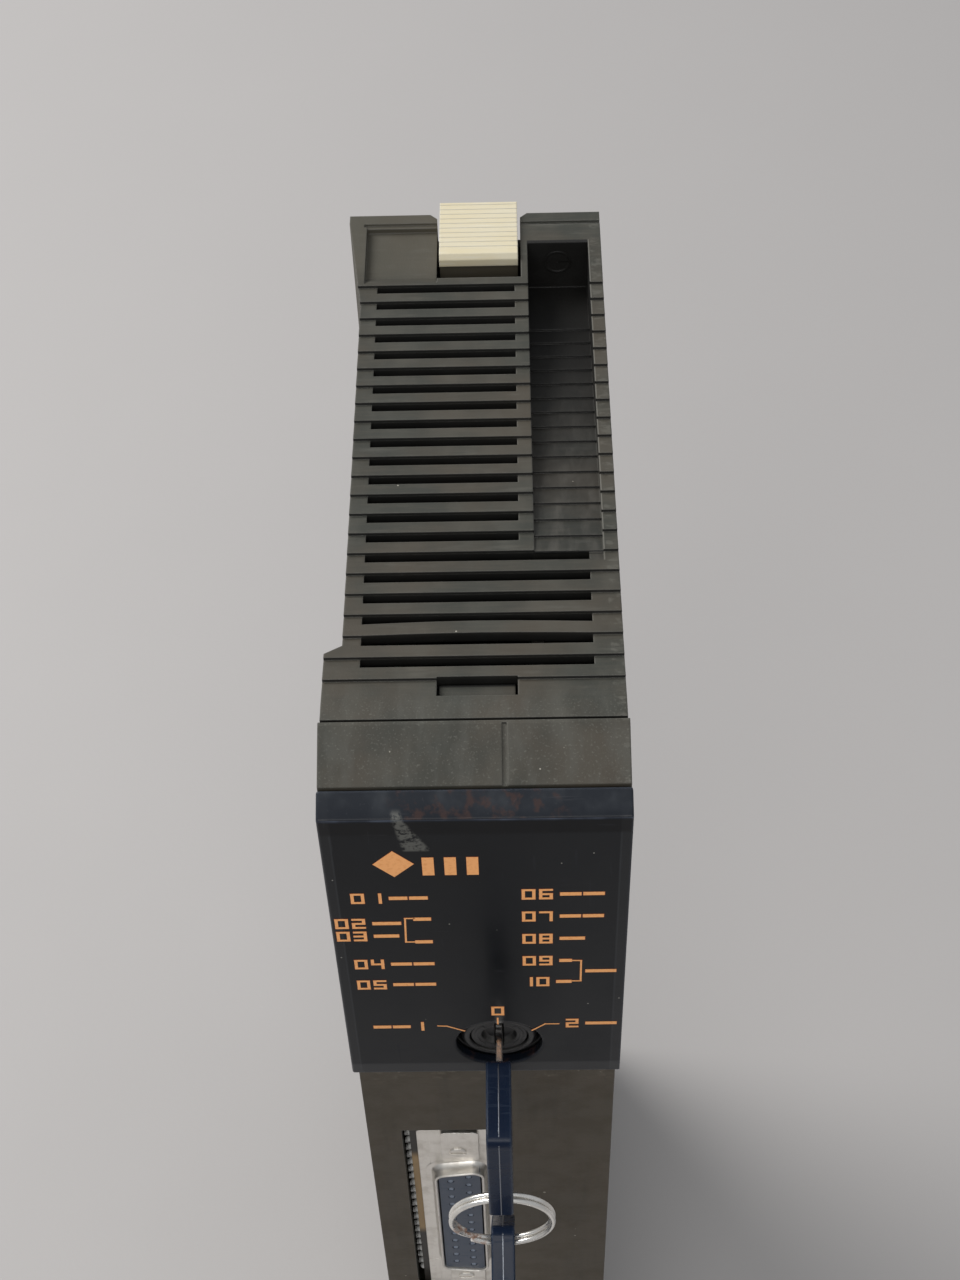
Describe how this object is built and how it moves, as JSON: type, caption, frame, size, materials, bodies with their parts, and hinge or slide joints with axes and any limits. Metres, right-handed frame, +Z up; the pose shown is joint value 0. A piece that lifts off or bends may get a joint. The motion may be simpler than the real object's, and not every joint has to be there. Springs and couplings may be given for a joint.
{
  "type": "plc module",
  "caption": "Tall, narrow rack module with louvred top, smoked lamp window, key switch with ring and spare key, D-shaped front ports, rear plug and sprung release latch.",
  "frame": {"origin": "middle of the case's bottom face: half way across its width and half way between the window's face and the rear face", "axes": "+Z up the module's height, +X to the right seen from the front, the front faces -Y"},
  "size_m": [0.0376, 0.1479, 0.2509],
  "materials": {
    "case_plastic": "moulded warm dark grey, dusty and worn at the edges",
    "window_plastic": "smoked near-black window, glossy, scratched",
    "black_plastic": "black moulded plastic",
    "lamp_plastic": "red diffusing plastic",
    "board": "green lacquered glass-fibre laminate",
    "nickel": "nickel plate, dulled",
    "steel": "bright steel",
    "brass": "turned brass",
    "port_plastic": "slate-blue moulding",
    "key_plastic": "navy plastic",
    "ivory_plastic": "ivory, yellowed",
    "battery_wrap": "shrink sleeve"
  },
  "bodies": {
    "module": {"case_shell": "case_plastic", "side_cover": "case_plastic", "case_screw_1": "steel", "case_screw_2": "steel", "case_screw_3": "steel", "case_screw_4": "steel", "lamp_bar_left": "lamp_plastic", "lamp_bar_right": "lamp_plastic", "indicator_board": "board", "indicator_header": "black_plastic", "lock_barrel": "black_plastic", "lock_nut": "nickel", "switch_block": "black_plastic", "latch_pin": "steel", "latch_spring": "steel", "upper_port_shell": "nickel", "upper_port_insert": "port_plastic", "upper_port_tails": "nickel", "upper_port_screw_top": "nickel", "upper_port_screw_foot": "nickel", "lower_port_shell": "nickel", "lower_port_insert": "port_plastic", "lower_port_tails": "nickel", "lower_port_screw_top": "nickel", "lower_port_screw_foot": "nickel", "edge_header": "nickel", "port_bracket": "nickel", "main_board": "board", "board_screw_1": "steel", "board_screw_2": "steel", "board_screw_3": "steel", "board_screw_4": "steel", "board_pillar_1": "brass", "board_pillar_2": "brass", "board_pillar_3": "brass", "board_pillar_4": "brass", "second_board": "board", "rear_plug": "black_plastic", "rear_contacts": "brass", "processor_chip": "black_plastic", "program_memory": "black_plastic", "gate_array": "black_plastic", "power_converter": "black_plastic", "capacitor_1": "black_plastic", "capacitor_2": "black_plastic", "coupler_row": "black_plastic", "battery": "battery_wrap", "battery_holder": "black_plastic"},
    "front_cover": {"front_hood": "case_plastic", "indicator_window": "window_plastic", "legend_plate": "black_plastic"},
    "lock_core": {"lock_rotor": "black_plastic"},
    "key": {"key_blade": "steel", "key_bow": "key_plastic"},
    "ring": {"split_ring": "steel"},
    "spare_key": {"spare_key_blade": "steel", "spare_key_bow": "key_plastic"},
    "latch": {"release_latch": "ivory_plastic"}
  },
  "joints": [
    {"name": "cover_pull", "type": "slide", "parent": "module", "child": "front_cover", "axis": [0, -1, 0], "range_m": [0, 0.007]},
    {"name": "key_turn", "type": "hinge", "parent": "module", "child": "lock_core", "pos_m": [0.002, -0.04, 0.1912], "axis": [0, 1, 0], "range_deg": [-50, 50]},
    {"name": "key_withdraw", "type": "slide", "parent": "lock_core", "child": "key", "axis": [0, -1, 0], "range_m": [0, 0.018]},
    {"name": "ring_swing", "type": "hinge", "parent": "key", "child": "ring", "pos_m": [0.002, -0.0703, 0.182], "axis": [1, 0, 0], "range_deg": [-70, 7]},
    {"name": "spare_key_swing", "type": "hinge", "parent": "ring", "child": "spare_key", "pos_m": [0.002, -0.0703, 0.166], "axis": [1, 0, 0], "range_deg": [-45, 10]},
    {"name": "latch_press", "type": "hinge", "parent": "module", "child": "latch", "pos_m": [0.0006, 0.0437, 0.2428], "axis": [-1, 0, 0], "range_deg": [0, 7], "stiffness_Nm_per_rad": 0.3, "springref_deg": -5.73, "deforming": ["latch_spring"]}
  ]
}
